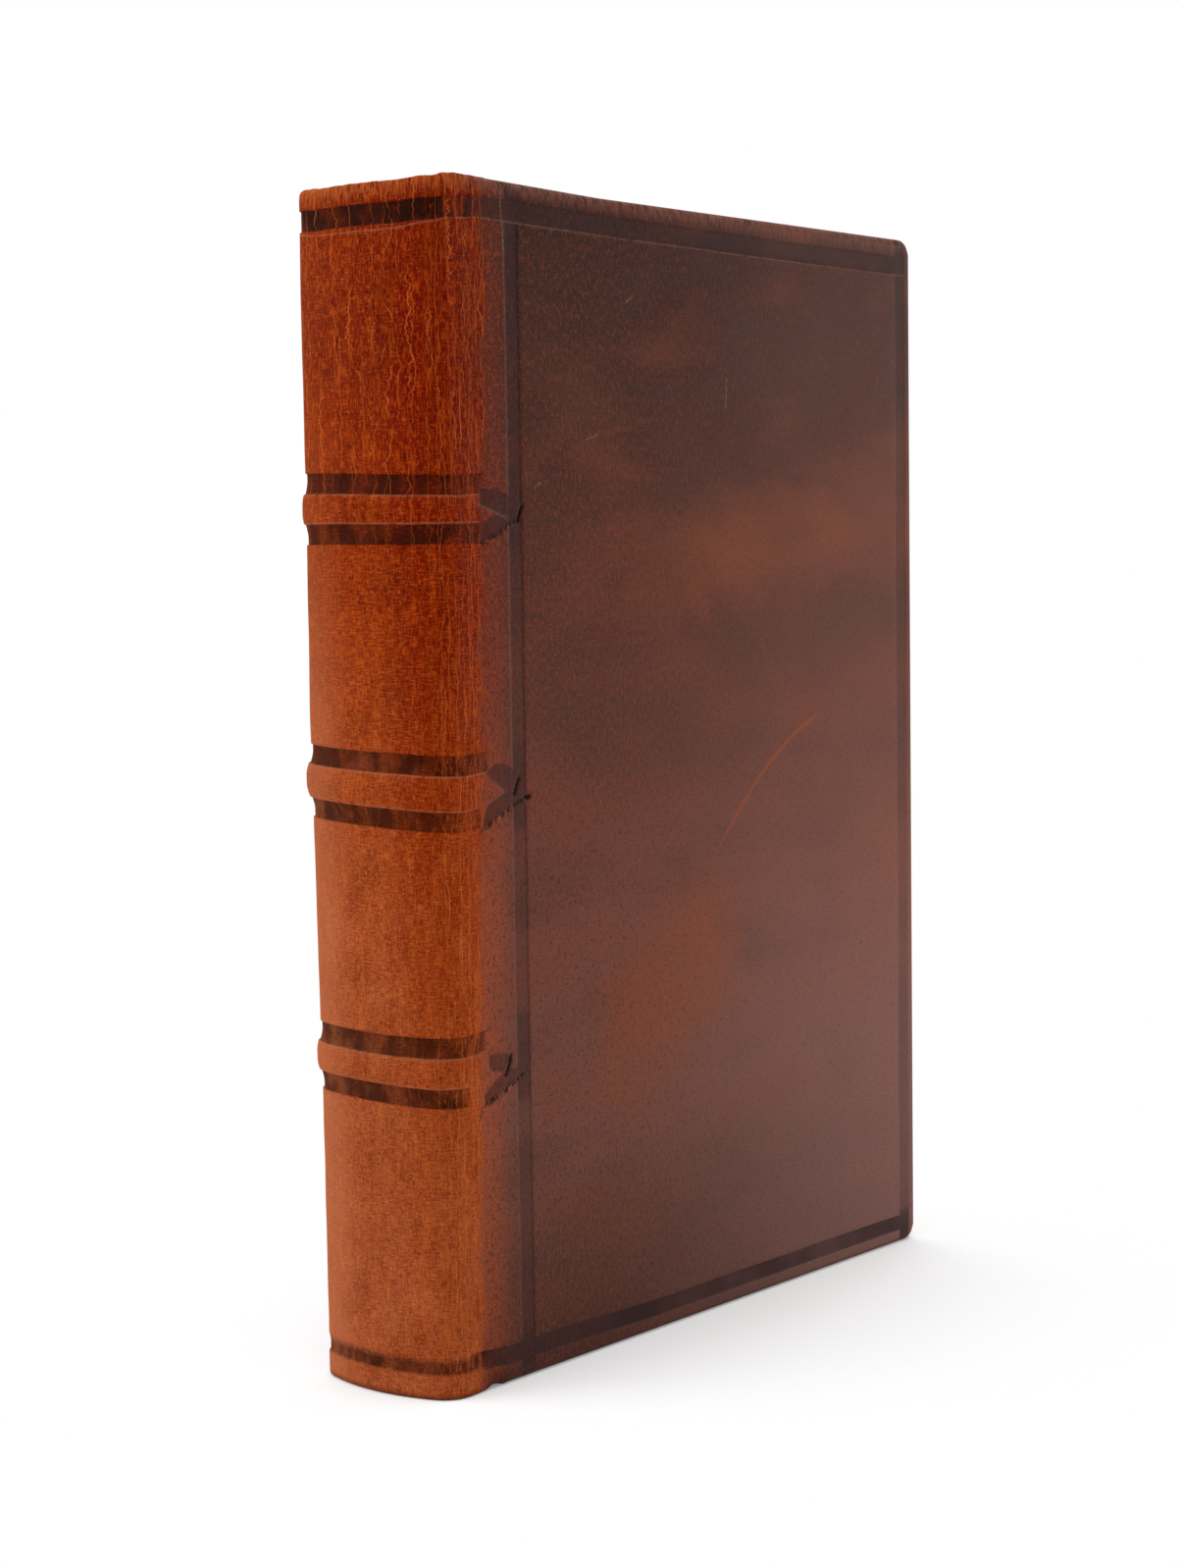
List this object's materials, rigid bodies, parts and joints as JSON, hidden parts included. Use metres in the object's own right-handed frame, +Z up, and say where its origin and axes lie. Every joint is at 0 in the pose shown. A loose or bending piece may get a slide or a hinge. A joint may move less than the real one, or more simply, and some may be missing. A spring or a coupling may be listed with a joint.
{
  "type": "antique leather book",
  "caption": "Upright book bound in worn brown leather: rounded spine on raised bands, blind-tooled lines, board covers that open on leather joints.",
  "frame": {"origin": "middle of the base that the book stands on, at floor level", "axes": "+Z up along the spine, +X from the spine to the fore edge, -Y out of the front cover"},
  "size_m": [0.1558, 0.033, 0.216],
  "materials": {
    "spine_leather": "worn calf, satin, tan brown",
    "cover_leather": "worn calf, satin, dark mottled brown",
    "pages": "cut edges of aged laid paper",
    "endpaper": "aged laid paper, pasted down",
    "board": "pasteboard",
    "liner": "stiff spine lining",
    "cord": "hemp cord",
    "headband": "sewn thread over a core"
  },
  "bodies": {
    "binding": {"text_block": "pages", "spine_liner": "liner", "spine_leather": "spine_leather", "raised_band_upper": "cord", "raised_band_middle": "cord", "raised_band_lower": "cord", "headband_head": "headband", "headband_tail": "headband", "front_joint_leather": "cover_leather", "back_joint_leather": "cover_leather"},
    "front_cover": {"front_cover_leather": "cover_leather", "front_board": "board", "front_pastedown": "endpaper"},
    "back_cover": {"back_cover_leather": "cover_leather", "back_board": "board", "back_pastedown": "endpaper"}
  },
  "joints": [
    {"name": "front_cover_hinge", "type": "hinge", "parent": "binding", "child": "front_cover", "pos_m": [-0.0636, -0.0165, 0.108], "axis": [0, 0, -1], "range_deg": [0, 170], "deforming": ["front_joint_leather"]},
    {"name": "back_cover_hinge", "type": "hinge", "parent": "binding", "child": "back_cover", "pos_m": [-0.0636, 0.0165, 0.108], "axis": [0, 0, 1], "range_deg": [0, 170], "deforming": ["back_joint_leather"]}
  ]
}
